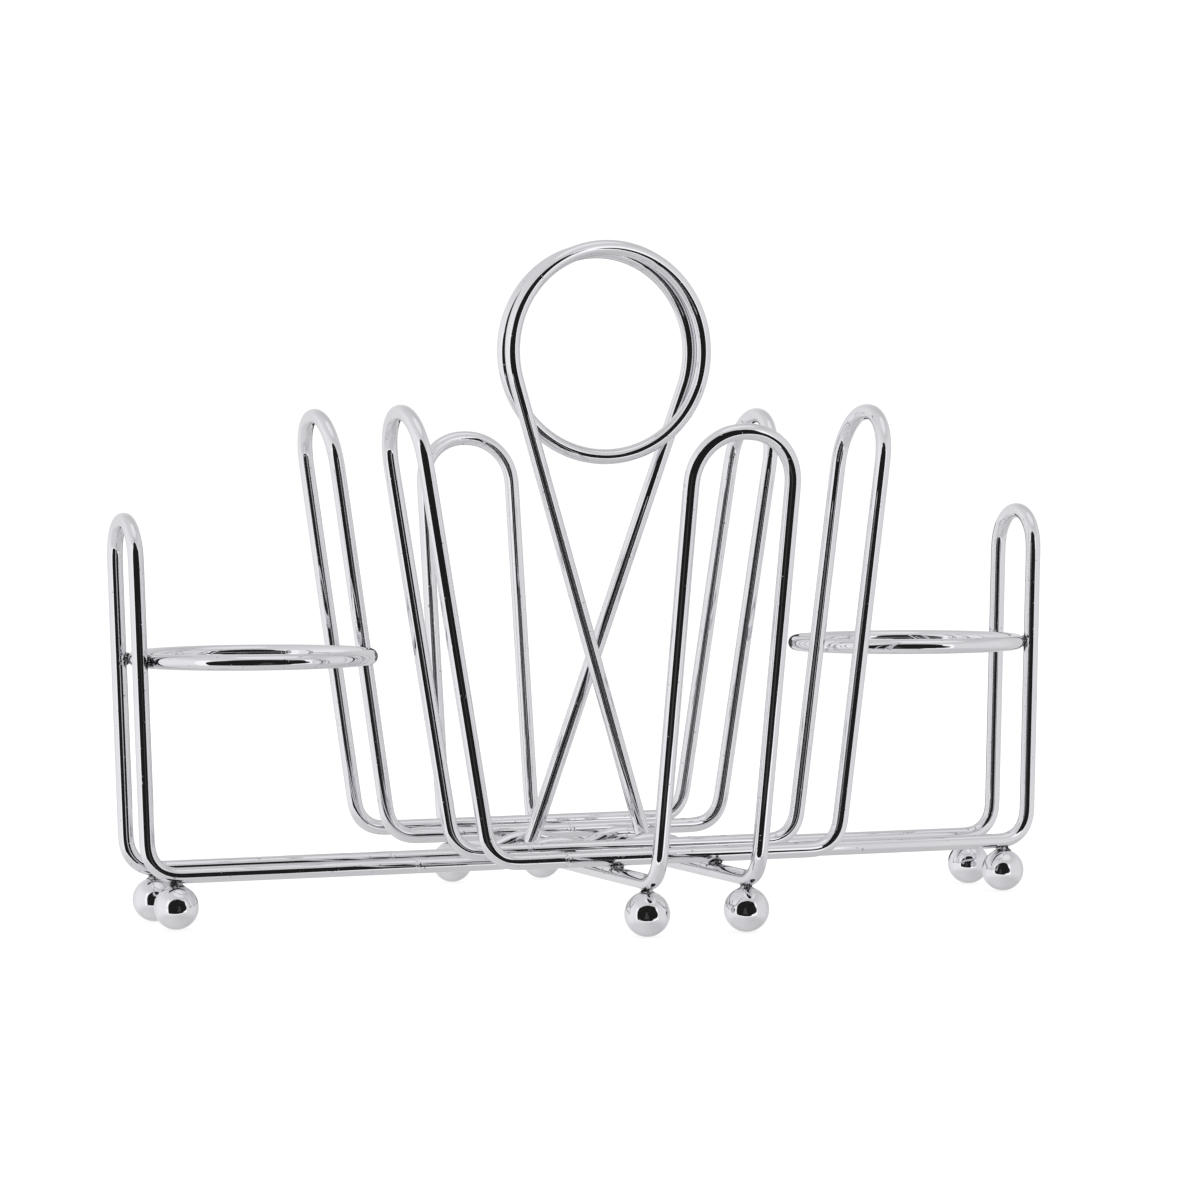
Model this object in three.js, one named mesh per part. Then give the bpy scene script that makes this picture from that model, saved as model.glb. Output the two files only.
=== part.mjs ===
// A toast rack with a pot ring at each end: chromed steel wire, welded, standing on eight ball feet.
// Millimetres, +Z up. The origin is on the table, under the middle of the rack.
// X runs along the rack through both pot rings, and Y from the front cradle to the rear cradle.

import * as THREE from 'three';

// The wire, and what every bend in it shares.
const WIRE_DIAMETER = 4.4;
const WIRE_RADIUS = WIRE_DIAMETER / 2;
const WIRE_SIDES = 10;
const BEND_RADIUS = 8.5;
const BEND_STEP = THREE.MathUtils.degToRad(18);

// Pieces that are welded to each other stand this far apart, and the weld fills the gap.
const WELD_GAP = 0.3;
const WIRE_STACK = WIRE_DIAMETER + WELD_GAP;

// Ball feet: half inch balls, worn to a small flat where they stand.
const BALL_RADIUS = 6.35;
const BALL_FLAT_RADIUS = 1.2;
const BALL_SIDES = 14;
const BALL_STEPS = 9;
const BALL_INSET = 8;
const BALL_CENTRE = Math.sqrt(BALL_RADIUS ** 2 - BALL_FLAT_RADIUS ** 2);

// Heights of the rails' centre lines: the frames on the feet, and the cradles that lie across them.
const LOWER_RAIL = BALL_CENTRE + BALL_RADIUS + WELD_GAP + WIRE_RADIUS;
const UPPER_RAIL = LOWER_RAIL + WIRE_STACK;

// Each frame is a closed loop of wire: two rails, and a hoop at each end that leans outwards.
// halfLength is where rail and hoop would meet if the bend were sharp, halfWidth is half of the
// distance between the rails, apex is the height of the hoop's top, lean is how far the hoop leans
// outwards for each millimetre of height, and tilt is how far it leans sideways.
const END_FRAME = { rail: LOWER_RAIL, halfLength: 137, halfWidth: 11.8, apex: 115.1, lean: 0.03, tilt: 0 };
const CROSS_FRAME = { rail: LOWER_RAIL, halfLength: 90.5, halfWidth: 14.8, apex: 138.5, lean: 0.2, tilt: -0.018 };
const CRADLE = { rail: UPPER_RAIL, halfLength: 52.5, halfWidth: 15.4, apex: 144.7, lean: 0.15, tilt: 0.04 };
const CRADLE_OFFSET = 44.7;

// A frame is two hairpins, butt welded to each other this far along its rails.
const END_SEAM = -58;
const CROSS_SEAM = -53;
const FRONT_CRADLE_SEAM = -30;
const REAR_CRADLE_SEAM = -4.5;

// A hoop's top is almost a half circle: its two bends take up this share of its half width.
const HOOP_ROUNDNESS = 0.95;

// The end frame's rails are crimped over the two rails of the cross frame, and dip between them.
const CRIMP_CREST = 8;
const CRIMP_RUN = 11;

// Pot rings, each welded to the inner side of an end hoop.
const RING_RADIUS = 33.4;
const RING_HEIGHT = 75.5;
const RING_STEPS = 40;

// Handle: one wire that rises from the right foot, winds into a coil and comes down to the left foot.
// It was bent by hand: from front to rear the coil moves this far to the left and gets this much
// tighter, and the whole handle leans to the right.
const COIL_RADIUS = 30.5;
const COIL_HEIGHT = 162.6;
const COIL_SHIFT = 2.6;
const COIL_SPREAD = 1.4;
const COIL_STEPS = 36;
const LEG_ANGLE = THREE.MathUtils.degToRad(18.2);
const HANDLE_LEAN = THREE.MathUtils.degToRad(2.1);
const LEG_END = LOWER_RAIL + WIRE_RADIUS + WELD_GAP + WIRE_RADIUS * Math.sin(LEG_ANGLE + HANDLE_LEAN);

const CHROME_COLOUR = 0xd8dade;

// A wire's centre line, given by the stations where a cross-section stands.
class WireLine extends THREE.Curve {
  constructor(stations) {
    super();
    this.stations = stations;
    this.last = stations.length - 1;
  }

  getPoint(t, target = new THREE.Vector3()) {
    return target.copy(this.stations[Math.round(t * this.last)]);
  }

  getTangent(t, target = new THREE.Vector3()) {
    const index = Math.round(t * this.last);
    const arriving = this.direction(Math.max(index - 1, 0));
    const leaving = this.direction(Math.min(index, this.last - 1));
    return target.copy(arriving).add(leaving).normalize();
  }

  // Even steps of u are steps from station to station, whatever their distance apart.
  getUtoTmapping(u) {
    return u;
  }

  direction(index) {
    return this.stations[index + 1].clone().sub(this.stations[index]).normalize();
  }
}

// Stations along straight runs whose corners are rounded. Each corner is { point, radius }.
function roundedStations(corners) {
  const points = corners.map(({ point }) => point);
  const stations = [points[0]];
  for (let i = 1; i < points.length - 1; i += 1) {
    const back = points[i - 1].clone().sub(points[i]).normalize();
    const ahead = points[i + 1].clone().sub(points[i]).normalize();
    const turn = Math.PI - back.angleTo(ahead);
    const { radius } = corners[i];
    const toCentre = back.clone().add(ahead).normalize();
    const centre = points[i].clone().addScaledVector(toCentre, radius / Math.cos(turn / 2));
    const start = points[i].clone().addScaledVector(back, radius * Math.tan(turn / 2));
    const axis = ahead.clone().cross(back).normalize();
    const steps = Math.max(1, Math.round(turn / BEND_STEP));
    for (let step = 0; step <= steps; step += 1) {
      const spoke = start.clone().sub(centre).applyAxisAngle(axis, (turn * step) / steps);
      stations.push(centre.clone().add(spoke));
    }
  }
  stations.push(points.at(-1));
  return stations;
}

function wireSection() {
  const corners = [];
  for (let side = 0; side < WIRE_SIDES; side += 1) {
    const angle = (2 * Math.PI * side) / WIRE_SIDES;
    corners.push(new THREE.Vector2(Math.cos(angle), Math.sin(angle)).multiplyScalar(WIRE_RADIUS));
  }
  return new THREE.Shape(corners);
}

function bentWire(stations) {
  return new THREE.ExtrudeGeometry(wireSection(), {
    steps: stations.length - 1,
    extrudePath: new WireLine(stations),
    bevelEnabled: false,
  });
}

function chromed(name, geometry) {
  const chrome = new THREE.MeshStandardMaterial({ color: CHROME_COLOUR, metalness: 1, roughness: 0.08 });
  const piece = new THREE.Mesh(geometry, chrome);
  piece.name = name;
  return piece;
}

// The corners of one crimped stretch of rail, as [distance along the rail, height above it].
function crimpCorners() {
  const outer = CROSS_FRAME.halfWidth + CRIMP_CREST / 2;
  const inner = CROSS_FRAME.halfWidth - CRIMP_CREST / 2;
  return [
    [-outer - CRIMP_RUN, 0],
    [-outer, WIRE_STACK],
    [-inner, WIRE_STACK],
    [0, 0],
    [inner, WIRE_STACK],
    [outer, WIRE_STACK],
    [outer + CRIMP_RUN, 0],
  ];
}

// One hairpin of a frame: from the seam along a rail, over the hoop at the end that side points to
// (+1 or -1 along the rails), and back to the seam along the other rail.
function hairpin(frame, seam, side, crimps = []) {
  const { rail, halfLength, halfWidth, apex, lean, tilt } = frame;
  const rise = apex - rail;
  const start = seam + (side * WELD_GAP) / 2;
  const end = side * halfLength;
  const top = side * (halfLength + lean * rise);
  const topRadius = halfWidth * HOOP_ROUNDNESS;
  const corner = (x, y, z, radius) => ({ point: new THREE.Vector3(x, y, z), radius });

  const passed = crimps.filter(([along]) => (along - start) * side > 0);
  const outward = side > 0 ? passed : passed.toReversed();
  const railCorners = (y) => outward.map(([along, lift]) => corner(along, y, rail + lift, BEND_RADIUS));

  return bentWire(roundedStations([
    corner(start, -halfWidth, rail, 0),
    ...railCorners(-halfWidth),
    corner(end, -halfWidth, rail, BEND_RADIUS),
    corner(top, tilt * rise - halfWidth, apex, topRadius),
    corner(top, tilt * rise + halfWidth, apex, topRadius),
    corner(end, halfWidth, rail, BEND_RADIUS),
    ...railCorners(halfWidth).toReversed(),
    corner(start, halfWidth, rail, 0),
  ]));
}

function endFrame() {
  const group = new THREE.Group();
  group.add(chromed('end_hairpin_left', hairpin(END_FRAME, END_SEAM, -1, crimpCorners())));
  group.add(chromed('end_hairpin_right', hairpin(END_FRAME, END_SEAM, 1, crimpCorners())));
  return group;
}

// The cross frame is made along X and turned a quarter turn, so its -X end comes to the front.
function crossFrame() {
  const group = new THREE.Group();
  group.add(chromed('cross_hairpin_front', hairpin(CROSS_FRAME, CROSS_SEAM, -1)));
  group.add(chromed('cross_hairpin_rear', hairpin(CROSS_FRAME, CROSS_SEAM, 1)));
  group.rotation.z = Math.PI / 2;
  return group;
}

function frontCradle() {
  const group = new THREE.Group();
  group.add(chromed('front_cradle_hairpin_left', hairpin(CRADLE, FRONT_CRADLE_SEAM, -1)));
  group.add(chromed('front_cradle_hairpin_right', hairpin(CRADLE, FRONT_CRADLE_SEAM, 1)));
  group.position.y = -CRADLE_OFFSET;
  return group;
}

// The rear cradle is the front one turned half way round, so its +X end comes to the left.
function rearCradle() {
  const group = new THREE.Group();
  group.add(chromed('rear_cradle_hairpin_left', hairpin(CRADLE, REAR_CRADLE_SEAM, 1)));
  group.add(chromed('rear_cradle_hairpin_right', hairpin(CRADLE, REAR_CRADLE_SEAM, -1)));
  group.position.y = CRADLE_OFFSET;
  group.rotation.z = Math.PI;
  return group;
}

// The coil's centre line from t = 0, where the front leg reaches it on the left, to t = 1, where the
// rear leg leaves it on the right. Seen from the front it runs clockwise and away from the viewer.
function coilPoint(t) {
  const startAngle = Math.PI + LEG_ANGLE;
  const endAngle = -2 * Math.PI - LEG_ANGLE;
  const angle = THREE.MathUtils.lerp(startAngle, endAngle, t);
  const turns = (startAngle - endAngle) / (2 * Math.PI);
  const radius = COIL_RADIUS + COIL_SPREAD * (0.5 - t);
  const aboveFeet = new THREE.Vector3(
    COIL_SHIFT * (0.5 - t) + radius * Math.cos(angle),
    WIRE_STACK * turns * (t - 0.5),
    COIL_HEIGHT - LEG_END + radius * Math.sin(angle),
  );
  const feet = new THREE.Vector3(0, 0, LEG_END);
  return aboveFeet.applyAxisAngle(new THREE.Vector3(0, 1, 0), HANDLE_LEAN).add(feet);
}

// The foot of a leg that comes down from a point of the coil, at this angle from straight down to +X.
function legFoot(coilEnd, angle) {
  const drop = coilEnd.z - LEG_END;
  return new THREE.Vector3(coilEnd.x + drop * Math.tan(angle), coilEnd.y, LEG_END);
}

function handle() {
  const coil = [];
  for (let step = 0; step <= COIL_STEPS; step += 1) {
    coil.push(coilPoint(step / COIL_STEPS));
  }
  const frontFoot = legFoot(coil[0], LEG_ANGLE - HANDLE_LEAN);
  const rearFoot = legFoot(coil.at(-1), -LEG_ANGLE - HANDLE_LEAN);
  return chromed('handle', bentWire([frontFoot, ...coil, rearFoot]));
}

// A pot ring touches both legs of its end hoop from inside, and bulges out a little between them.
function potRing(name, side) {
  const legX = END_FRAME.halfLength + END_FRAME.lean * (RING_HEIGHT - END_FRAME.rail);
  const reach = Math.sqrt((RING_RADIUS + WIRE_STACK) ** 2 - END_FRAME.halfWidth ** 2);
  const ring = chromed(name, new THREE.TorusGeometry(RING_RADIUS, WIRE_RADIUS, WIRE_SIDES, RING_STEPS));
  ring.position.set(side * (legX - reach), 0, RING_HEIGHT);
  return ring;
}

function ballGeometry() {
  const flatAngle = Math.asin(BALL_FLAT_RADIUS / BALL_RADIUS);
  const profile = [new THREE.Vector2(0, -BALL_CENTRE)];
  for (let step = 0; step < BALL_STEPS; step += 1) {
    const angle = THREE.MathUtils.lerp(flatAngle, Math.PI, step / BALL_STEPS);
    profile.push(new THREE.Vector2(Math.sin(angle), -Math.cos(angle)).multiplyScalar(BALL_RADIUS));
  }
  profile.push(new THREE.Vector2(0, BALL_RADIUS));
  return new THREE.LatheGeometry(profile, BALL_SIDES).rotateX(Math.PI / 2);
}

function ballFeet() {
  const group = new THREE.Group();
  const geometry = ballGeometry();
  const endX = END_FRAME.halfLength - BALL_INSET;
  const crossY = CROSS_FRAME.halfLength - BALL_INSET;
  for (const [endName, endSide] of [['left', -1], ['right', 1]]) {
    for (const [rowName, rowSide] of [['front', -1], ['rear', 1]]) {
      const endBall = chromed(`end_ball_${endName}_${rowName}`, geometry);
      endBall.position.set(endSide * endX, rowSide * END_FRAME.halfWidth, BALL_CENTRE);
      const crossBall = chromed(`cross_ball_${rowName}_${endName}`, geometry);
      crossBall.position.set(endSide * CROSS_FRAME.halfWidth, rowSide * crossY, BALL_CENTRE);
      group.add(endBall, crossBall);
    }
  }
  return group;
}

function toastRack() {
  const rack = new THREE.Group();
  rack.add(endFrame(), crossFrame(), frontCradle(), rearCradle(), handle());
  rack.add(potRing('pot_ring_left', -1), potRing('pot_ring_right', 1), ballFeet());
  return rack;
}

export default toastRack();
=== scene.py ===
"""The looks of a chromed wire toast rack with a pot ring at each end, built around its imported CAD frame.

Metres, +Z up, the table at Z = 0. X runs along the rack through both pot rings.
"""

import math
import random

import bmesh
import bpy
from mathutils import Matrix, Vector, noise

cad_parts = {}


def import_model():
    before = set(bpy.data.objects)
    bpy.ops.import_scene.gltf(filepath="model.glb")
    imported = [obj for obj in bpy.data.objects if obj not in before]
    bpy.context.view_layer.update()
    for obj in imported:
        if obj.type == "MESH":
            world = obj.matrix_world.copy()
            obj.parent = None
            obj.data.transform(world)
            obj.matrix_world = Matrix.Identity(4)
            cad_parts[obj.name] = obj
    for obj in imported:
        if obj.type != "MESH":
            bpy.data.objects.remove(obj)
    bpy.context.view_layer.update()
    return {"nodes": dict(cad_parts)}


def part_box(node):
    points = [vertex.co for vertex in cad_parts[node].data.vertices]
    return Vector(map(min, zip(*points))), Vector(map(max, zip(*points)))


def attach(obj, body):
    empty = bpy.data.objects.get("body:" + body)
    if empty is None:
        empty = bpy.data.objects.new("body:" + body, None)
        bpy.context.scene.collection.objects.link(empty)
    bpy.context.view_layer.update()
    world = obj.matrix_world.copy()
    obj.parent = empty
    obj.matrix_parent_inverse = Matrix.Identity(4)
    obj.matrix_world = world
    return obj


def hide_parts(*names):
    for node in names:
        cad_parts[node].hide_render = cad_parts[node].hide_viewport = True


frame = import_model()

MM = 0.001
UP = Vector((0, 0, 1))
RANDOM_SEED = 784

# The rack's two ends along X and its two sides along Y, each with the sign of its axis.
SIDES = (("left", -1), ("right", 1))
ROWS = (("front", -1), ("rear", 1))

# The wire and its bends.
WIRE_RADIUS = 2.2 * MM
WIRE_SIDES = 40
STATION_STEP = 0.75 * MM
EASING_ROUNDS = 12
ARC_STEP = math.radians(2.5)
BEND_RADIUS = 8.5 * MM
HOOP_ROUNDNESS = 0.95
CRIMP_CREST = 8 * MM
CRIMP_RUN = 11 * MM
WELD_GAP = 0.3 * MM
WIRE_STACK = 2 * WIRE_RADIUS + WELD_GAP

# Balls stand this far in from where rail and hoop would meet if their bend were sharp.
BALL_INSET = 8 * MM
BALL_FLAT_RADIUS = 1.2 * MM
BALL_STEPS = 60
BALL_SIDES = 64
# A ball's outline stops this far short of its top, which a tiny flat closes inside the weld.
BALL_CAP_ANGLE = 0.01

# The cradles' rails.
CRADLE_HALF_LENGTH = 52.5 * MM
CRADLE_HALF_WIDTH = 15.4 * MM

# The handle.
COIL_RADIUS = 30.5 * MM
COIL_HEIGHT = 162.6 * MM
COIL_SHIFT = 2.6 * MM
COIL_SPREAD = 1.4 * MM
COIL_STEPS = 240
LEG_ANGLE = math.radians(18.2)
HANDLE_LEAN = math.radians(2.1)

# How far from each weld its soot reaches.
WELD_REACH = 5 * MM
SEAM_REACH = 2 * MM
NECK_REACH = 3.6 * MM

# The weld between a ball and its rail, as (radius, height above the ball's top).
NECK_PROFILE = [
    (2.6 * MM, -0.75 * MM),
    (2.35 * MM, -0.5 * MM),
    (2.0 * MM, -0.25 * MM),
    (1.8 * MM, 0),
    (1.7 * MM, 0.25 * MM),
    (1.7 * MM, 0.5 * MM),
    (1.62 * MM, 0.85 * MM),
    (1.4 * MM, 1.2 * MM),
]
NECK_SIDES = 32
NECK_ROUGHNESS = 0.35

# The collar at a butt weld: a low swelling, with a fine groove in its middle, that fades into the wire.
SEAM_HALF_LENGTH = 1.3 * MM
SEAM_SWELLING = 0.019 * MM
SEAM_SWELLING_WIDTH = 0.6 * MM
SEAM_GROOVE = 0.012 * MM
SEAM_GROOVE_WIDTH = 0.12 * MM
SEAM_SINK = 0.013 * MM
SEAM_STEPS = 28
SEAM_SIDES = 48
SEAM_ROUGHNESS = 0.02

# Weld beads: half their size in each direction, and how uneven their skin is.
CROSSING_BEAD = (1.9 * MM, 2.6 * MM, 0.8 * MM)
CROSSING_BEAD_ROUGHNESS = 0.18
RING_BEAD = (0.95 * MM, 1.7 * MM, 1.7 * MM)
HANDLE_BEAD = (2.9 * MM, 2.7 * MM, 0.95 * MM)
BEAD_ROUGHNESS = 0.3
BEAD_SUBDIVISIONS = 4
LUMPS_PER_RADIUS = 1.6
LUMP_DIMENSION = 0.8
LUMP_LACUNARITY = 2.2
LUMP_OCTAVES = 3
NOISE_SPAN = 50

# How fine the unevenness of turned forms is, in noise cells per metre.
TURNED_SKIN_SCALE = 900

# The tool mark on each front bend of the cross frame, where the wire climbs at this slope.
DIMPLE_REACH = 1.4 * MM
DIMPLE_DEPTH = 0.55 * MM
DIMPLE_SLOPE = math.sin(math.radians(53))

# Colours of the metal.
CHROME = (0.80, 0.81, 0.83, 1)
CHROME_FILM = (0.77, 0.775, 0.80, 1)
PINHOLE_GREY = (0.30, 0.30, 0.31, 1)
SCUFF_GREY = (0.45, 0.45, 0.46, 1)
WELD_GREY = (0.55, 0.55, 0.57, 1)
SOOT = (0.035, 0.033, 0.036, 1)

# How deep the relief of each surface is.
WAVE_DEPTH = 0.03 * MM
DRAWN_LINE_DEPTH = 0.0005 * MM
PINHOLE_DEPTH = 0.02 * MM
SOOT_DEPTH = 0.12 * MM
BALL_WAVE_DEPTH = 0.02 * MM
SCUFF_DEPTH = 0.004 * MM
WELD_LUMP_DEPTH = 0.25 * MM
SEAM_LUMP_DEPTH = 0.08 * MM

# The noise level above which a weld's plating shows dark flecks, and how softly they start.
WELD_FLECK_LEVEL = 0.42
SEAM_FLECK_LEVEL = 0.58
FLECK_SOFTNESS = 0.14

# The camera looks along +Y turned this far towards +X, slightly down, from this far away.
CAMERA_AZIMUTH = math.radians(20.95)
CAMERA_DISTANCE = 1.222
CAMERA_HEIGHT = 130.6 * MM
CAMERA_AIM = Vector((2.8 * MM, -1.8 * MM, 90 * MM))
CAMERA_ROLL = math.radians(-0.37)
CAMERA_LENS = 124.9
CAMERA_CLIP_END = 50
SENSOR_WIDTH = 36
TOWARDS_CAMERA = Vector((-math.sin(CAMERA_AZIMUTH), -math.cos(CAMERA_AZIMUTH), 0))
RIGHTWARDS = Vector((math.cos(CAMERA_AZIMUTH), -math.sin(CAMERA_AZIMUTH), 0))

# The floor and the lamp.
FLOOR_HALF_SIZE = 4
FLOOR_DROP = 0.05 * MM
FLOOR_COLOUR = (0.25, 0.25, 0.25, 1)
FLOOR_ROUGHNESS = 0.9
FLOOR_GLOW = 0.82
LAMP_SIZE = 1.6
LAMP_ENERGY = 4
LAMP_PLACE = (0.3, -0.3, 1.5)

# The light tent. Its cards stand this far from the rack, in layers one step apart.
TENT_COLOUR = (1, 0.98, 0.996)
WHITE = (1, 1, 1)
OPENING_DISTANCE = 0.36
ROOM_DISTANCE = 0.67
FLAG_DISTANCE = -0.40
CARD_STEP = 0.003
ARCH_STEPS = 32
OPENING_LEFT = -0.34
OPENING_RIGHT = 0.28
OPENING_LOW = -0.16
OPENING_SHOULDER = 0.09
OPENING_TOP = 0.32
CLOTH_OVERLAP = 0.02
CLOTH_LEFT_WIDTH = 0.12
CLOTH_RIGHT_WIDTH = 0.18
CLOTH_SILL_HEIGHT = 0.03
OPENING_GLOW = 0.015
STAND_GLOW = 0.055
FLAG_GLOW = 0.06
CLOTH_GLOW = 1.2
SURROUNDINGS_GLOW = 1.05

# How bright the tent is that the chrome mirrors. Each row has an axis, two shares of the way along it,
# and the brightness at each of them. The rows are multiplied.
SOFTBOX = (TOWARDS_CAMERA * 0.13 + RIGHTWARDS * 0.22 + UP * 0.97).normalized()
TENT_SHADES = (
    (UP, -0.70, -0.30, 0.78, 0.99),
    (UP, 0.35, 0.85, 1.0, 0.80),
    (RIGHTWARDS, -0.6, 0.6, 1.0, 0.85),
    (-TOWARDS_CAMERA, 0.1, 1.0, 1.0, 0.82),
    (SOFTBOX, 0.90, 0.96, 1.0, 1.35),
)

random.seed(RANDOM_SEED)


# ---------------------------------------------------------------- measured from the frame

def box_centre(node):
    low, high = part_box(node)
    return (Vector(low) + Vector(high)) / 2


def centre_line_box(node):
    """The box of a wire's centre line: the node's box, less half a wire on every side."""
    low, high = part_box(node)
    inset = Vector((WIRE_RADIUS,) * 3)
    return Vector(low) + inset, Vector(high) - inset


def rail_height():
    """The frames' rails lie on the balls, with the weld's gap between them."""
    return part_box("end_ball_left_front")[1][2] + WELD_GAP + WIRE_RADIUS


def cross_rail_x():
    """How far each rail of the cross frame lies from the rack's middle."""
    return abs(box_centre("cross_ball_front_left").x)


def end_rail_y():
    """How far each rail of the end frame lies from the rack's middle."""
    return abs(box_centre("end_ball_left_front").y)


def cradle_rails(row, outwards):
    """Where the two rails of one cradle lie along Y, by name."""
    low, high = centre_line_box(f"{row}_cradle_hairpin_left")
    outer = low.y if outwards < 0 else high.y
    return {"outer": outer, "inner": outer - outwards * 2 * CRADLE_HALF_WIDTH}


# ---------------------------------------------------------------- centre lines

def rounded(corners):
    """Points along straight runs whose corners, each (point, radius), are rounded."""
    points = [corners[0][0].copy()]
    for index in range(1, len(corners) - 1):
        corner, radius = corners[index]
        back = (corners[index - 1][0] - corner).normalized()
        ahead = (corners[index + 1][0] - corner).normalized()
        turn = math.pi - back.angle(ahead)
        centre = corner + (back + ahead).normalized() * (radius / math.cos(turn / 2))
        start = corner + back * (radius * math.tan(turn / 2))
        axis = ahead.cross(back).normalized()
        steps = max(2, round(turn / ARC_STEP))
        for step in range(steps + 1):
            spoke = Matrix.Rotation(turn * step / steps, 3, axis) @ (start - centre)
            points.append(centre + spoke)
    points.append(corners[-1][0].copy())
    return points


def evenly(points):
    """The same line with stations a fixed step apart, and its curvature eased a little into each bend."""
    lengths = [0.0]
    for before, after in zip(points, points[1:]):
        lengths.append(lengths[-1] + (after - before).length)
    count = round(lengths[-1] / STATION_STEP)
    stations = []
    index = 0
    for step in range(count + 1):
        target = lengths[-1] * step / count
        while index < len(points) - 2 and lengths[index + 1] < target:
            index += 1
        span = lengths[index + 1] - lengths[index]
        share = 0 if span == 0 else (target - lengths[index]) / span
        stations.append(points[index].lerp(points[index + 1], min(share, 1)))
    return eased(stations)


def eased(stations):
    """The stations, each averaged with its neighbours again and again."""
    for _ in range(EASING_ROUNDS):
        inner = [
            (before + here * 2 + after) / 4
            for before, here, after in zip(stations, stations[1:], stations[2:])
        ]
        stations = [stations[0], *inner, stations[-1]]
    return stations


def crimp_corners(cross_half_width, lift):
    """The corners of one crimped stretch of rail, as (distance along the rail, height above it)."""
    outer = cross_half_width + CRIMP_CREST / 2
    inner = cross_half_width - CRIMP_CREST / 2
    right = [(inner, lift), (outer, lift), (outer + CRIMP_RUN, 0)]
    left = [(-along, height) for along, height in reversed(right)]
    return [*left, (0, 0), *right]


def hairpin(seam, end, top, half_width, rail, apex, shift=0, crimps=()):
    """Half of a wire loop made along X: from the seam along a rail, over the hoop, and back to the seam.

    end and top are where the hoop starts and how far out its top leans. shift is how far it leans sideways.
    """
    side = math.copysign(1, end)
    passed = [corner for corner in crimps if (corner[0] - seam) * side > 0]
    passed.sort(key=lambda corner: corner[0] * side)

    def rail_bends(y):
        return [(Vector((along, y, rail + lift)), BEND_RADIUS) for along, lift in passed]

    top_radius = half_width * HOOP_ROUNDNESS
    corners = [
        (Vector((seam, -half_width, rail)), 0),
        *rail_bends(-half_width),
        (Vector((end, -half_width, rail)), BEND_RADIUS),
        (Vector((top, shift - half_width, apex)), top_radius),
        (Vector((top, shift + half_width, apex)), top_radius),
        (Vector((end, half_width, rail)), BEND_RADIUS),
        *reversed(rail_bends(half_width)),
        (Vector((seam, half_width, rail)), 0),
    ]
    return evenly(rounded(corners))


def seam_and_top(low, high, side):
    """Where a hairpin's seam and the top of its hoop are along an axis, from its centre line's box."""
    if side < 0:
        return high + WIRE_RADIUS, low
    return low - WIRE_RADIUS, high


def end_line(name, side):
    """The centre line of one hairpin of the end frame, which has a pot ring in each of its hoops."""
    low, high = centre_line_box(f"end_hairpin_{name}")
    ball = box_centre(f"end_ball_{name}_front")
    crimps = crimp_corners(cross_rail_x(), WIRE_STACK)
    seam, top = seam_and_top(low.x, high.x, side)
    end = ball.x + side * BALL_INSET
    return hairpin(seam, end, top, abs(ball.y), rail_height(), high.z, crimps=crimps)


def cross_line(name, side):
    """The centre line of one hairpin of the cross frame, made along X and turned a quarter turn."""
    low, high = centre_line_box(f"cross_hairpin_{name}")
    ball = box_centre(f"cross_ball_{name}_left")
    seam, top = seam_and_top(low.y, high.y, side)
    end = ball.y + side * BALL_INSET
    lean_right = high.x - abs(ball.x)
    line = hairpin(seam, end, top, abs(ball.x), rail_height(), high.z, shift=-lean_right)
    return [Vector((-point.y, point.x, point.z)) for point in line]


def cradle_line(row, outwards, name, side):
    """The centre line of one hairpin of a cradle, which lies on the cross frame's rails."""
    low, high = centre_line_box(f"{row}_cradle_hairpin_{name}")
    seam, top = seam_and_top(low.x, high.x, side)
    outer = low.y if outwards < 0 else high.y
    inner = high.y if outwards < 0 else low.y
    middle = outer - outwards * CRADLE_HALF_WIDTH
    shift = inner + outwards * CRADLE_HALF_WIDTH - middle
    rail = rail_height() + WIRE_STACK
    line = hairpin(seam, side * CRADLE_HALF_LENGTH, top, CRADLE_HALF_WIDTH, rail, high.z, shift=shift)
    return [point + Vector((0, middle, 0)) for point in line]


def leg_end_height():
    """How high the handle's centre line starts, where its cut ends stand on the cross frame's rails."""
    return rail_height() + WIRE_RADIUS + WELD_GAP + WIRE_RADIUS * math.sin(LEG_ANGLE + HANDLE_LEAN)


def coil_point(t):
    """A point of the handle's coil.

    t goes from 0, where the front leg reaches the coil on the left, to 1, where the rear leg leaves it.
    """
    start = math.pi + LEG_ANGLE
    end = -2 * math.pi - LEG_ANGLE
    angle = start + (end - start) * t
    turns = (start - end) / (2 * math.pi)
    radius = COIL_RADIUS + COIL_SPREAD * (0.5 - t)
    feet = Vector((0, 0, leg_end_height()))
    above_feet = Vector((
        COIL_SHIFT * (0.5 - t) + radius * math.cos(angle),
        WIRE_STACK * turns * (t - 0.5),
        COIL_HEIGHT - feet.z + radius * math.sin(angle),
    ))
    return Matrix.Rotation(HANDLE_LEAN, 3, "Y") @ above_feet + feet


def leg_foot(coil_end, angle):
    """Where a straight leg that leaves the coil at this angle from upright comes to stand."""
    drop = coil_end.z - leg_end_height()
    return Vector((coil_end.x + drop * math.tan(angle), coil_end.y, leg_end_height()))


def handle_line():
    """The handle's centre line, from the front leg's foot up round the coil to the rear leg's foot."""
    coil = [coil_point(step / COIL_STEPS) for step in range(COIL_STEPS + 1)]
    front_foot = leg_foot(coil[0], LEG_ANGLE - HANDLE_LEAN)
    rear_foot = leg_foot(coil[-1], -LEG_ANGLE - HANDLE_LEAN)
    return evenly([front_foot, *coil, rear_foot])


def ring_line(node):
    """A pot ring's centre line, a closed circle."""
    low, high = centre_line_box(node)
    centre = (low + high) / 2
    radius = (high.x - low.x) / 2
    count = round(2 * math.pi * radius / STATION_STEP)
    return [
        centre + Vector((math.cos(angle), math.sin(angle), 0)) * radius
        for angle in (2 * math.pi * step / count for step in range(count))
    ]


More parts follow.
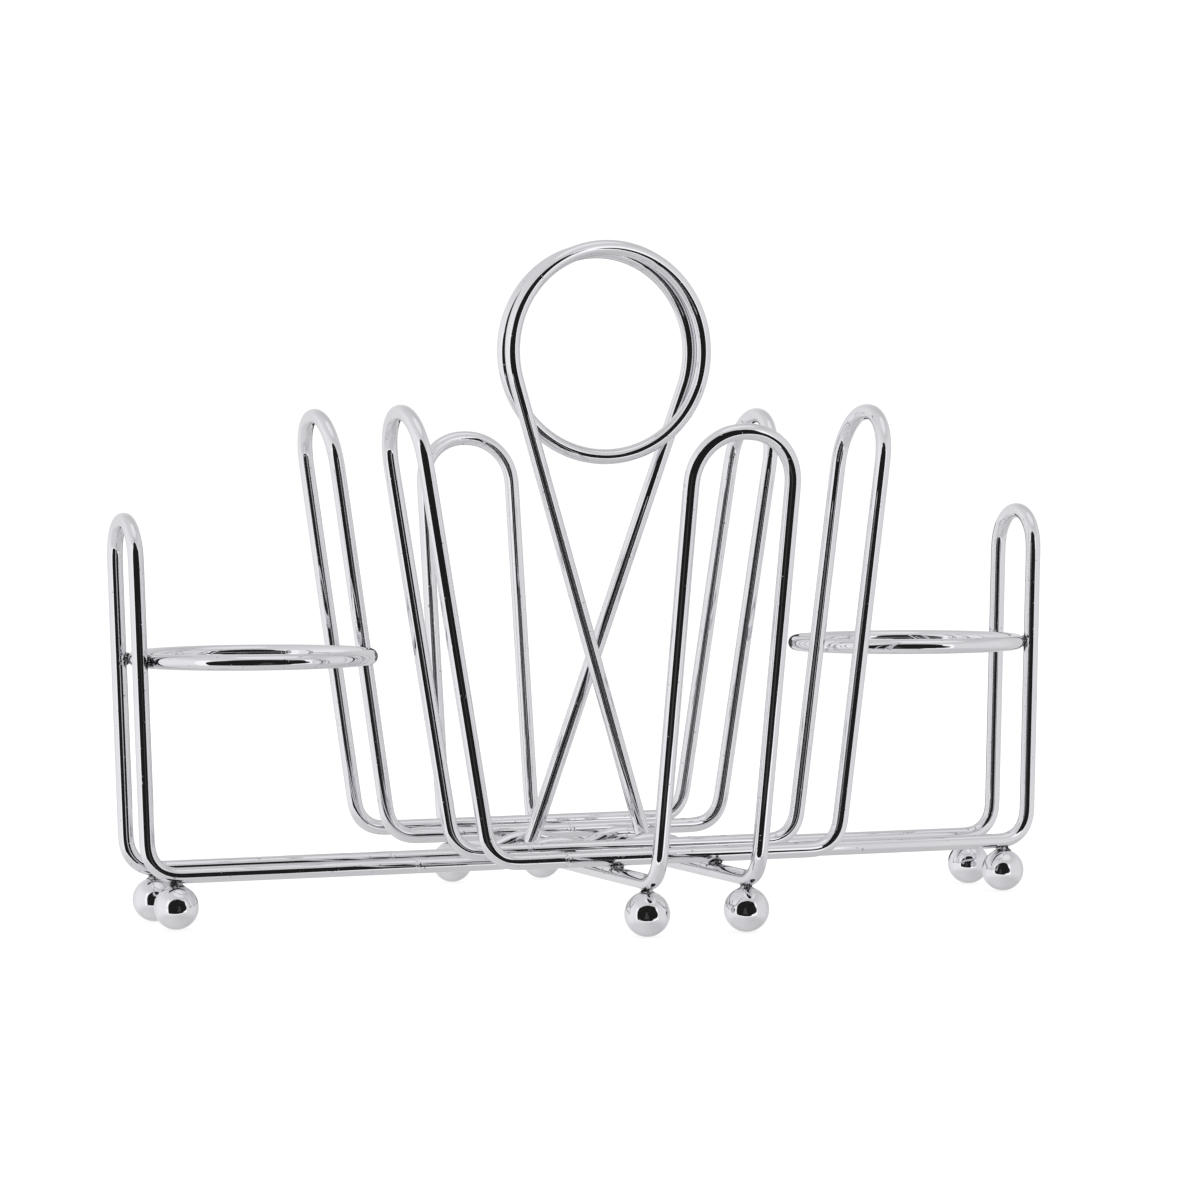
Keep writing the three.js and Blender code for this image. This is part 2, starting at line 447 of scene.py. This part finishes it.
# ---------------------------------------------------------------- meshes

def finished(name, made, material):
    """A bmesh made into a piece that rides on the rack's one body."""
    mesh = bpy.data.meshes.new(name)
    made.normal_update()
    made.to_mesh(mesh)
    made.free()
    piece = bpy.data.objects.new(name, mesh)
    bpy.context.scene.collection.objects.link(piece)
    piece.data.materials.append(material)
    piece.data.shade_smooth()
    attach(piece, "root")
    return piece


def directions(line, closed):
    """The way that a line runs at each of its stations."""
    count = len(line)
    found = []
    for index in range(count):
        before = line[index - 1] if closed or index > 0 else line[0]
        after = line[(index + 1) % count] if closed or index < count - 1 else line[-1]
        found.append((after - before).normalized())
    return found


def carried_frames(line, closed):
    """A pair of axes across the wire at each station, carried along it without twist."""
    ways = directions(line, closed)
    first = ways[0].orthogonal().normalized()
    frames = [(first, ways[0].cross(first))]
    for before, after in zip(ways, ways[1:]):
        turned = before.rotation_difference(after) @ frames[-1][0]
        across = (turned - after * turned.dot(after)).normalized()
        frames.append((across, after.cross(across)))
    if closed:
        frames = untwisted(frames, ways)
    return frames


def untwisted(frames, ways):
    """Spreads a closed line's leftover twist evenly, so that its last frame meets its first."""
    carried = ways[-1].rotation_difference(ways[0]) @ frames[-1][0]
    first_across, first_beside = frames[0]
    leftover = math.atan2(carried.dot(first_beside), carried.dot(first_across))
    spread = []
    for index, ((across, beside), way) in enumerate(zip(frames, ways)):
        turn = Matrix.Rotation(-leftover * index / len(frames), 3, way)
        spread.append((turn @ across, turn @ beside))
    return spread


def skin_over(made, rings, closed=False):
    """Faces between each ring of vertices and the next, and over both ends unless the form is closed."""
    pairs = list(zip(rings, rings[1:]))
    if closed:
        pairs.append((rings[-1], rings[0]))
    for before, after in pairs:
        for side in range(len(before)):
            beyond = (side + 1) % len(before)
            made.faces.new((before[side], before[beyond], after[beyond], after[side]))
    if not closed:
        made.faces.new(reversed(rings[0]))
        made.faces.new(rings[-1])


def wire(name, line, material, welds, closed=False):
    """A drawn wire along a line, with what its material needs to know at each point.

    "drawn" is the place on the wire: round it in x and y, and along it in z. "weld" is 1 at a weld.
    """
    made = bmesh.new()
    drawn = made.verts.layers.float_vector.new("drawn")
    weld = made.verts.layers.float.new("weld")
    rings = []
    along = 0
    for index, (point, (across, beside)) in enumerate(zip(line, carried_frames(line, closed))):
        along += (point - line[index - 1]).length if index else 0
        ring = []
        for side in range(WIRE_SIDES):
            angle = 2 * math.pi * side / WIRE_SIDES
            spoke = across * math.cos(angle) + beside * math.sin(angle)
            vertex = made.verts.new(point + spoke * WIRE_RADIUS)
            vertex[drawn] = (math.cos(angle), math.sin(angle), along)
            vertex[weld] = nearness(vertex.co, welds)
            ring.append(vertex)
        rings.append(ring)
    skin_over(made, rings, closed)
    piece = finished(name, made, material)
    return piece


def nearness(point, welds):
    """How near a point is to the nearest weld: 1 on it, and 0 at the weld's reach or further."""
    best = 0
    for centre, reach in welds:
        best = max(best, 1 - (point - centre).length / reach)
    return best


def lathe(name, profile, base, axis, sides, roughen, material, welds=()):
    """A turned form, closed at both ends, that stands on the base point.

    profile lists (radius, height along the axis). roughen is how uneven the skin is.
    """
    made = bmesh.new()
    weld = made.verts.layers.float.new("weld")
    turn = UP.rotation_difference(axis).to_matrix()
    rings = []
    for radius, height in profile:
        rise = UP * height
        ring = []
        for side in range(sides):
            angle = 2 * math.pi * side / sides
            spoke = Vector((math.cos(angle), math.sin(angle), 0)) * radius
            wobble = 1 + roughen * noise.noise((spoke + rise + base) * TURNED_SKIN_SCALE)
            vertex = made.verts.new(base + turn @ (spoke * wobble + rise))
            vertex[weld] = nearness(vertex.co, welds)
            ring.append(vertex)
        rings.append(ring)
    skin_over(made, rings)
    return finished(name, made, material)


def bead(name, centre, radii, material, turn=None, roughness=BEAD_ROUGHNESS):
    """A small lump of weld metal, as wide, deep and high as radii says, with an uneven skin."""
    made = bmesh.new()
    bmesh.ops.create_icosphere(made, subdivisions=BEAD_SUBDIVISIONS, radius=1)
    place = Vector([random.uniform(0, NOISE_SPAN) for _ in range(3)])
    for vertex in made.verts:
        lump = noise.fractal(
            vertex.co * LUMPS_PER_RADIUS + place, LUMP_DIMENSION, LUMP_LACUNARITY, LUMP_OCTAVES
        )
        stretched = Vector((vertex.co.x * radii[0], vertex.co.y * radii[1], vertex.co.z * radii[2]))
        swollen = stretched * (1 + roughness * lump)
        vertex.co = (turn @ swollen if turn else swollen) + centre
    piece = finished(name, made, material)
    return piece


# ---------------------------------------------------------------- materials

class Nodes:
    """A metal's node tree, with short ways to add and join nodes."""

    def __init__(self, name):
        self.material = bpy.data.materials.new(name)
        self.material.use_nodes = True
        self.tree = self.material.node_tree
        self.shader = self.tree.nodes["Principled BSDF"]
        self.shader.inputs["Metallic"].default_value = 1.0

    def add(self, kind, inputs=None, **settings):
        node = self.tree.nodes.new(kind)
        for key, value in settings.items():
            setattr(node, key, value)
        for key, value in (inputs or {}).items():
            self.feed(node.inputs[key], value)
        return node

    def feed(self, socket, value):
        """Gives a socket its value, which is a number, a colour or another node's output."""
        if isinstance(value, bpy.types.NodeSocket):
            self.tree.links.new(value, socket)
        else:
            socket.default_value = value

    def link(self, output, socket):
        self.tree.links.new(output, self.shader.inputs[socket])

    def place(self):
        return self.add("ShaderNodeTexCoord").outputs["Object"]

    def attribute(self, name, kind):
        return self.add("ShaderNodeAttribute", attribute_name=name).outputs[kind]

    def stretched(self, place, factors):
        return self.add("ShaderNodeVectorMath", {0: place, 1: factors}, operation="MULTIPLY").outputs[0]

    def noise(self, place, scale, detail, roughness=0.5):
        inputs = {"Vector": place, "Scale": scale, "Detail": detail, "Roughness": roughness}
        return self.add("ShaderNodeTexNoise", inputs).outputs["Fac"]

    def ramp(self, value, low, high, start=0.0, end=1.0):
        """A soft step from start to end while the value goes from low to high."""
        inputs = {"Value": value, "From Min": low, "From Max": high, "To Min": start, "To Max": end}
        return self.add("ShaderNodeMapRange", inputs, interpolation_type="SMOOTHSTEP").outputs["Result"]

    def maths(self, operation, first, second):
        return self.add("ShaderNodeMath", {0: first, 1: second}, operation=operation).outputs[0]

    def mixed(self, share, first, second):
        """A colour between two, the second one where the share is 1."""
        node = self.add("ShaderNodeMix", {"Factor": share}, data_type="RGBA")
        self.feed(node.inputs[6], first)
        self.feed(node.inputs[7], second)
        return node.outputs[2]

    def bump(self, height, distance, under=None):
        """The surface with a relief of this height, on top of the relief that lies under it."""
        inputs = {"Height": height, "Distance": distance, "Strength": 1.0}
        if under is not None:
            inputs["Normal"] = under
        return self.add("ShaderNodeBump", inputs).outputs["Normal"]

    def plating(self, clouds):
        """The plating's colour, a little duller in cloudy patches."""
        return self.mixed(self.ramp(clouds, low=0.35, high=0.7), CHROME, CHROME_FILM)


def wire_chrome():
    """Plating on drawn wire: faint lines along it, slight waves, pinholes, and soot round the welds."""
    nodes = Nodes("chrome_on_drawn_wire")
    place = nodes.place()
    drawn = nodes.attribute("drawn", "Vector")
    weld = nodes.attribute("weld", "Fac")

    lines = nodes.noise(nodes.stretched(drawn, (4.5, 4.5, 14)), scale=2.0, detail=4.0, roughness=0.6)
    waves = nodes.noise(place, scale=90.0, detail=1.0)
    pinholes = nodes.ramp(nodes.noise(place, scale=900.0, detail=1.0), low=0.72, high=0.78)
    clouds = nodes.noise(place, scale=35.0, detail=3.0)
    streaks = nodes.noise(nodes.stretched(drawn, (1.6, 1.6, 330)), scale=1.0, detail=4.0, roughness=0.65)
    near_weld = nodes.maths("MULTIPLY", weld, 0.5)
    soot = nodes.ramp(nodes.maths("ADD", streaks, near_weld), low=0.76, high=0.86)

    pitting = nodes.maths("MULTIPLY", pinholes, 0.6)
    pitted = nodes.mixed(pitting, nodes.plating(clouds), PINHOLE_GREY)
    nodes.link(nodes.mixed(soot, pitted, SOOT), "Base Color")

    haze = nodes.ramp(clouds, low=0.3, high=0.75, start=0.02, end=0.04)
    soot_haze = nodes.maths("MULTIPLY", soot, 0.35)
    nodes.link(nodes.maths("ADD", haze, soot_haze), "Roughness")

    normal = nodes.bump(waves, WAVE_DEPTH)
    normal = nodes.bump(lines, DRAWN_LINE_DEPTH, normal)
    normal = nodes.bump(pinholes, PINHOLE_DEPTH, normal)
    normal = nodes.bump(nodes.maths("MULTIPLY", soot, streaks), SOOT_DEPTH, normal)
    nodes.link(normal, "Normal")
    return nodes.material


def ball_chrome():
    """Plating on a steel ball: almost a mirror, with a few fine scuffs and soot at the weld on top."""
    nodes = Nodes("chrome_on_ball")
    place = nodes.place()
    weld = nodes.attribute("weld", "Fac")

    clouds = nodes.noise(place, scale=120.0, detail=3.0)
    scuffs = nodes.ramp(nodes.noise(place, scale=1400.0, detail=2.0), low=0.66, high=0.74)
    spatter = nodes.noise(place, scale=1100.0, detail=3.0, roughness=0.7)
    near_weld = nodes.maths("MULTIPLY", weld, 0.62)
    soot = nodes.ramp(nodes.maths("ADD", spatter, near_weld), low=0.80, high=0.88)

    scuffing = nodes.maths("MULTIPLY", scuffs, 0.3)
    scuffed = nodes.mixed(scuffing, nodes.plating(clouds), SCUFF_GREY)
    nodes.link(nodes.mixed(soot, scuffed, SOOT), "Base Color")

    haze = nodes.ramp(clouds, low=0.3, high=0.75, start=0.03, end=0.06)
    soot_haze = nodes.maths("MULTIPLY", soot, 0.3)
    nodes.link(nodes.maths("ADD", haze, soot_haze), "Roughness")

    normal = nodes.bump(clouds, BALL_WAVE_DEPTH)
    normal = nodes.bump(scuffs, SCUFF_DEPTH, normal)
    nodes.link(normal, "Normal")
    return nodes.material


def weld_chrome(name, colour, fleck_level, lump_depth):
    """Plating over weld metal: lumpier than on the wire, with dark flecks that it didn't cover.

    A lower fleck level gives more flecks.
    """
    nodes = Nodes(name)
    place = nodes.place()
    lumps = nodes.noise(place, scale=700.0, detail=4.0, roughness=0.65)
    patches = nodes.noise(place, scale=1100.0, detail=3.0, roughness=0.7)
    flecks = nodes.ramp(patches, low=fleck_level, high=fleck_level + FLECK_SOFTNESS)
    nodes.link(nodes.mixed(flecks, colour, SOOT), "Base Color")
    nodes.link(nodes.ramp(flecks, low=0, high=1, start=0.12, end=0.5), "Roughness")
    nodes.link(nodes.bump(lumps, lump_depth), "Normal")
    return nodes.material


# ---------------------------------------------------------------- where the welds are

def crossing_welds():
    """Where the cradles' and the end frame's rails lie on the cross frame's rails, by name."""
    height = rail_height() + WIRE_STACK - WIRE_RADIUS - WELD_GAP / 2
    rows = {"end_front": -end_rail_y(), "end_rear": end_rail_y()}
    for row, outwards in ROWS:
        for rail, y in cradle_rails(row, outwards).items():
            rows[f"{row}_cradle_{rail}"] = y
    return {
        f"{row}_{name}": Vector((side * cross_rail_x(), y, height))
        for row, y in rows.items()
        for name, side in SIDES
    }


def seam_places():
    """Where hairpins are butt welded to each other, by name: each place and the way that its rails run."""
    end_seam = (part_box("end_hairpin_left")[1][0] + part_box("end_hairpin_right")[0][0]) / 2
    cross_seam = (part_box("cross_hairpin_front")[1][1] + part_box("cross_hairpin_rear")[0][1]) / 2
    along_x = Vector((1, 0, 0))
    along_y = Vector((0, 1, 0))
    places = {}
    for name, side in ROWS:
        places[f"end_{name}"] = (Vector((end_seam, side * end_rail_y(), rail_height())), along_x)
    for name, side in SIDES:
        places[f"cross_{name}"] = (Vector((side * cross_rail_x(), cross_seam, rail_height())), along_y)
    for row, outwards in ROWS:
        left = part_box(f"{row}_cradle_hairpin_left")
        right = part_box(f"{row}_cradle_hairpin_right")
        seam = (left[1][0] + right[0][0]) / 2
        for rail, y in cradle_rails(row, outwards).items():
            places[f"{row}_cradle_{rail}"] = (Vector((seam, y, rail_height() + WIRE_STACK)), along_x)
    return places


def ring_welds():
    """Where each pot ring touches its hoop's two legs, by name: each place and the way out to it."""
    places = {}
    for name, side in SIDES:
        low, high = centre_line_box(f"pot_ring_{name}")
        centre = (low + high) / 2
        radius = (high.x - low.x) / 2
        for row, row_side in ROWS:
            y = row_side * end_rail_y()
            reach = math.sqrt((radius + WIRE_STACK) ** 2 - y**2)
            outwards = Vector((side * reach, y, 0)).normalized()
            places[f"{name}_{row}"] = (centre + outwards * (radius + WIRE_STACK / 2), outwards)
    return places


def handle_feet(line):
    """The handle's two cut ends, which stand on the cross frame's rails."""
    lift = Vector((0, 0, -WELD_GAP / 2 - WIRE_RADIUS * math.sin(LEG_ANGLE)))
    return {"front": line[0] + lift, "rear": line[-1] + lift}


def ball_tops():
    """The top of each ball foot, by its node's name."""
    tops = {}
    for node in frame["nodes"]:
        if "_ball_" in node:
            centre = box_centre(node)
            tops[node] = Vector((centre.x, centre.y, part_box(node)[1][2]))
    return tops


# ---------------------------------------------------------------- the rack

def reaching(places, reach):
    """The welds at these places, each with how far its soot reaches."""
    return [(place, reach) for place in places]


def wires(chrome):
    """Every wire and ring, each standing for its CAD node. Returns their centre lines by node."""
    handle = handle_line()
    welds = [
        *reaching(crossing_welds().values(), WELD_REACH),
        *reaching([place for place, _ in seam_places().values()], SEAM_REACH),
        *reaching([place for place, _ in ring_welds().values()], WELD_REACH),
        *reaching(ball_tops().values(), NECK_REACH),
        *reaching(handle_feet(handle).values(), WELD_REACH),
    ]

    lines = {f"end_hairpin_{name}": end_line(name, side) for name, side in SIDES}
    for name, side in ROWS:
        lines[f"cross_hairpin_{name}"] = cross_line(name, side)
    for row, outwards in ROWS:
        for name, side in SIDES:
            lines[f"{row}_cradle_hairpin_{name}"] = cradle_line(row, outwards, name, side)
    lines["handle"] = handle
    for name, _ in SIDES:
        lines[f"pot_ring_{name}"] = ring_line(f"pot_ring_{name}")

    for node, line in lines.items():
        piece = wire(f"wire_{node}", line, chrome, welds, closed=node.startswith("pot_ring"))
        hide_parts(node)
    return lines


def ball_foot(node, top, chrome):
    """A steel ball, worn to a small flat where it stands."""
    low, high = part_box(node)
    radius = (high[2] - low[2]) / 2
    middle = high[2] - radius
    start = math.asin(BALL_FLAT_RADIUS / radius)
    profile = []
    for step in range(BALL_STEPS + 1):
        angle = start + (math.pi - BALL_CAP_ANGLE - start) * step / BALL_STEPS
        profile.append((radius * math.sin(angle), middle - radius * math.cos(angle)))
    base = Vector((top.x, top.y, 0))
    ball = lathe(f"foot_{node}", profile, base, UP, BALL_SIDES, 0, chrome, [(top, NECK_REACH)])
    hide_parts(node)


def neck(node, top, metal):
    """The weld between a ball and its rail: a waisted, uneven stub that runs up into the wire."""
    stub = lathe(f"neck_{node}", NECK_PROFILE, top, UP, NECK_SIDES, NECK_ROUGHNESS, metal)


def seam_collar(name, place, way, metal):
    """A butt weld round a wire: a low swelling with a fine groove in its middle."""
    profile = []
    for step in range(SEAM_STEPS + 1):
        along = SEAM_HALF_LENGTH * (2 * step / SEAM_STEPS - 1)
        swelling = SEAM_SWELLING * math.exp(-((along / SEAM_SWELLING_WIDTH) ** 2))
        groove = SEAM_GROOVE * math.exp(-((along / SEAM_GROOVE_WIDTH) ** 2))
        profile.append((WIRE_RADIUS - SEAM_SINK + swelling - groove, along))
    collar = lathe(f"seam_{name}", profile, place, way, SEAM_SIDES, SEAM_ROUGHNESS, metal)


def bend_dimple(side, line):
    """The small round tool mark on the outside of one front bend of the cross frame."""
    bend = [
        (point, way)
        for point, way in zip(line, directions(line, False))
        if point.x * side > 0 and point.z < rail_height() + BEND_RADIUS
    ]
    point, way = min(bend, key=lambda found: abs(abs(found[1].z) - DIMPLE_SLOPE))
    outwards = Vector((0, -abs(way.z), -abs(way.y))).normalized()
    middle = point + outwards * WIRE_RADIUS
    for vertex in bpy.data.objects["wire_cross_hairpin_front"].data.vertices:
        share = (vertex.co - middle).length / DIMPLE_REACH
        if share < 1:
            vertex.co -= outwards * DIMPLE_DEPTH * (1 - share**2) ** 2


def weld_details(lines, metal, seam_metal):
    """The weld metal that shows between the pieces, and the two tool marks."""
    for node, top in ball_tops().items():
        neck(node, top, metal)
    for name, (place, way) in seam_places().items():
        seam_collar(name, place, way, seam_metal)
    for name, place in crossing_welds().items():
        bead(f"weld_{name}", place, CROSSING_BEAD, metal, roughness=CROSSING_BEAD_ROUGHNESS)
    for name, (place, outwards) in ring_welds().items():
        turn = Vector((1, 0, 0)).rotation_difference(outwards).to_matrix()
        bead(f"weld_ring_{name}", place, RING_BEAD, metal, turn)
    for name, place in handle_feet(lines["handle"]).items():
        bead(f"weld_handle_{name}", place, HANDLE_BEAD, metal)
    for _, side in SIDES:
        bend_dimple(side, lines["cross_hairpin_front"])


# ---------------------------------------------------------------- the studio

def glow(name, colour, strength):
    """A material that only shines, as strongly in every direction."""
    material = bpy.data.materials.new(name)
    material.use_nodes = True
    tree = material.node_tree
    tree.nodes.clear()
    light = tree.nodes.new("ShaderNodeEmission")
    light.inputs["Color"].default_value = (*colour, 1)
    light.inputs["Strength"].default_value = strength
    output = tree.nodes.new("ShaderNodeOutputMaterial")
    tree.links.new(light.outputs[0], output.inputs["Surface"])
    return material


def sheet(name, corners, material):
    """One flat face with the given corners."""
    mesh = bpy.data.meshes.new(name)
    mesh.from_pydata(corners, [], [list(range(len(corners)))])
    mesh.materials.append(material)
    made = bpy.data.objects.new(name, mesh)
    bpy.context.scene.collection.objects.link(made)
    return made


def card(name, distance, outline, material):
    """An upright card that is seen only in reflections, this far from the rack towards the camera.

    outline lists (distance to the right, height), as the camera sees it. Behind the rack the distance is
    below 0.
    """
    foot = TOWARDS_CAMERA * distance
    corners = [foot + RIGHTWARDS * right + UP * height for right, height in outline]
    made = sheet(name, corners, material)
    for kind in ("camera", "diffuse", "transmission", "volume_scatter", "shadow"):
        setattr(made, f"visible_{kind}", False)


def rectangle(left, right, low, high):
    return [(left, low), (right, low), (right, high), (left, high)]


def arch(left, right, low, shoulder, top):
    """An opening with straight sides and an elliptical head."""
    middle = (left + right) / 2
    half_width = (right - left) / 2
    head = [
        (middle + half_width * math.cos(angle), shoulder + (top - shoulder) * math.sin(angle))
        for angle in (math.pi * step / ARCH_STEPS for step in range(ARCH_STEPS + 1))
    ]
    return [(left, low), (right, low), *head]


def tent_opening():
    """The tent's dark opening, with the camera's stand in it and a dark room above and behind it.

    The opening's right foot and its upper right corner are cut further out than its arch.
    """
    dark = glow("tent_opening", WHITE, OPENING_GLOW)
    stand = glow("camera_stand", WHITE, STAND_GLOW)
    opening = arch(OPENING_LEFT, OPENING_RIGHT, OPENING_LOW, OPENING_SHOULDER, OPENING_TOP)
    foot = [
        (0.26, -0.10), (0.34, -0.10), (0.41, -0.04), (0.41, 0.06), (0.34, 0.15), (0.33, 0.22), (0.26, 0.22),
    ]
    corner = [
        (0, OPENING_SHOULDER), (OPENING_RIGHT, OPENING_SHOULDER), (OPENING_RIGHT, 0.12),
        (0.335, 0.15), (0.335, 0.29), (OPENING_RIGHT, OPENING_TOP), (0, OPENING_TOP),
    ]
    tapered = [(-0.058, -0.09), (0.065, -0.09), (0.017, 0.08), (-0.012, 0.08)]
    card("opening", OPENING_DISTANCE, opening, dark)
    card("opening_foot", OPENING_DISTANCE + CARD_STEP, foot, dark)
    card("opening_corner", OPENING_DISTANCE + CARD_STEP, corner, dark)
    card("stand", OPENING_DISTANCE - CARD_STEP, tapered, stand)
    room = arch(left=-0.34, right=0.52, low=0.2, shoulder=0.46, top=0.70)
    card("dark_room", ROOM_DISTANCE, room, dark)


def tent_cloth():
    """Bright cloth round the opening, and a step of it in front of the opening's lower right corner."""
    bright = glow("tent_cloth", TENT_COLOUR, CLOTH_GLOW)
    step = [(0.15, -0.18), (0.46, -0.18), (0.46, -0.11), (0.20, -0.11)]
    card("cloth_step", OPENING_DISTANCE - CARD_STEP, step, bright)
    behind_opening = OPENING_DISTANCE + 2 * CARD_STEP
    outer_left = OPENING_LEFT - CLOTH_LEFT_WIDTH
    outer_right = OPENING_RIGHT + CLOTH_RIGHT_WIDTH
    left = rectangle(outer_left, OPENING_LEFT + CLOTH_OVERLAP, OPENING_LOW, OPENING_TOP)
    right = rectangle(OPENING_RIGHT - CLOTH_OVERLAP, outer_right, OPENING_LOW, OPENING_TOP)
    sill = rectangle(outer_left, outer_right, OPENING_LOW - CLOTH_SILL_HEIGHT, OPENING_LOW)
    card("cloth_left", behind_opening, left, bright)
    card("cloth_right", behind_opening, right, bright)
    card("cloth_sill", behind_opening, sill, bright)


def rear_flag():
    """A narrow dark card behind the rack. It gives the wires a dark line when they are seen from there."""
    outline = rectangle(left=-0.12, right=0.10, low=0, high=0.14)
    card("rear_flag", FLAG_DISTANCE, outline, glow("rear_flag", WHITE, FLAG_GLOW))


def world():
    """An even white studio. The chrome mirrors it as a tent in greys, with a bright softbox overhead."""
    made = bpy.data.worlds.new("studio")
    bpy.context.scene.world = made
    made.use_nodes = True
    tree = made.node_tree
    tree.nodes.clear()
    way = tree.nodes.new("ShaderNodeTexCoord").outputs["Generated"]

    def graded(axis, start, end, low, high):
        along = tree.nodes.new("ShaderNodeVectorMath")
        along.operation = "DOT_PRODUCT"
        tree.links.new(way, along.inputs[0])
        along.inputs[1].default_value = axis
        grade = tree.nodes.new("ShaderNodeMapRange")
        grade.interpolation_type = "SMOOTHSTEP"
        tree.links.new(along.outputs["Value"], grade.inputs["Value"])
        for key, value in (("From Min", start), ("From Max", end), ("To Min", low), ("To Max", high)):
            grade.inputs[key].default_value = value
        return grade.outputs["Result"]

    def product(first, second):
        node = tree.nodes.new("ShaderNodeMath")
        node.operation = "MULTIPLY"
        tree.links.new(first, node.inputs[0])
        tree.links.new(second, node.inputs[1])
        return node.outputs[0]

    brightness = graded(*TENT_SHADES[0])
    for shade in TENT_SHADES[1:]:
        brightness = product(brightness, graded(*shade))
    mirrored = tree.nodes.new("ShaderNodeBackground")
    mirrored.inputs["Color"].default_value = (*TENT_COLOUR, 1)
    tree.links.new(brightness, mirrored.inputs["Strength"])
    even = tree.nodes.new("ShaderNodeBackground")
    even.inputs["Color"].default_value = (*WHITE, 1)
    even.inputs["Strength"].default_value = SURROUNDINGS_GLOW
    path = tree.nodes.new("ShaderNodeLightPath")
    mix = tree.nodes.new("ShaderNodeMixShader")
    tree.links.new(path.outputs["Is Glossy Ray"], mix.inputs["Fac"])
    tree.links.new(even.outputs[0], mix.inputs[1])
    tree.links.new(mirrored.outputs[0], mix.inputs[2])
    output = tree.nodes.new("ShaderNodeOutputWorld")
    tree.links.new(mix.outputs[0], output.inputs["Surface"])


def floor():
    """A plain pale floor, lit from below like a light table. The chrome mirrors the tent instead of it."""
    material = bpy.data.materials.new("floor_white")
    material.use_nodes = True
    shader = material.node_tree.nodes["Principled BSDF"]
    shader.inputs["Base Color"].default_value = FLOOR_COLOUR
    shader.inputs["Roughness"].default_value = FLOOR_ROUGHNESS
    shader.inputs["Specular IOR Level"].default_value = 0
    shader.inputs["Emission Color"].default_value = (*WHITE, 1)
    shader.inputs["Emission Strength"].default_value = FLOOR_GLOW
    outline = rectangle(-FLOOR_HALF_SIZE, FLOOR_HALF_SIZE, -FLOOR_HALF_SIZE, FLOOR_HALF_SIZE)
    made = sheet("floor", [(x, y, -FLOOR_DROP) for x, y in outline], material)
    made.visible_glossy = False


def lamp():
    """One large soft lamp overhead, which isn't mirrored."""
    light = bpy.data.lights.new("soft_lamp", "AREA")
    light.shape = "SQUARE"
    light.size = LAMP_SIZE
    light.energy = LAMP_ENERGY
    made = bpy.data.objects.new("soft_lamp", light)
    made.location = LAMP_PLACE
    made.visible_glossy = False
    bpy.context.scene.collection.objects.link(made)


def camera():
    data = bpy.data.cameras.new("camera")
    data.lens = CAMERA_LENS
    data.sensor_width = SENSOR_WIDTH
    data.clip_end = CAMERA_CLIP_END
    made = bpy.data.objects.new("camera", data)
    across = TOWARDS_CAMERA * CAMERA_DISTANCE
    made.location = (CAMERA_AIM.x + across.x, CAMERA_AIM.y + across.y, CAMERA_HEIGHT)
    aim = (CAMERA_AIM - Vector(made.location)).to_track_quat("-Z", "Y")
    made.rotation_euler = (aim.to_matrix() @ Matrix.Rotation(CAMERA_ROLL, 3, "Z")).to_euler()
    bpy.context.scene.collection.objects.link(made)
    bpy.context.scene.camera = made


camera()
world()
lamp()
floor()
tent_opening()
tent_cloth()
rear_flag()
bpy.context.scene.view_settings.view_transform = "Standard"

wire_lines = wires(wire_chrome())
ball_metal = ball_chrome()
for ball, ball_top in ball_tops().items():
    ball_foot(ball, ball_top, ball_metal)
weld_metal = weld_chrome("chrome_on_weld", WELD_GREY, WELD_FLECK_LEVEL, WELD_LUMP_DEPTH)
seam_metal = weld_chrome("chrome_on_seam", CHROME, SEAM_FLECK_LEVEL, SEAM_LUMP_DEPTH)
weld_details(wire_lines, weld_metal, seam_metal)
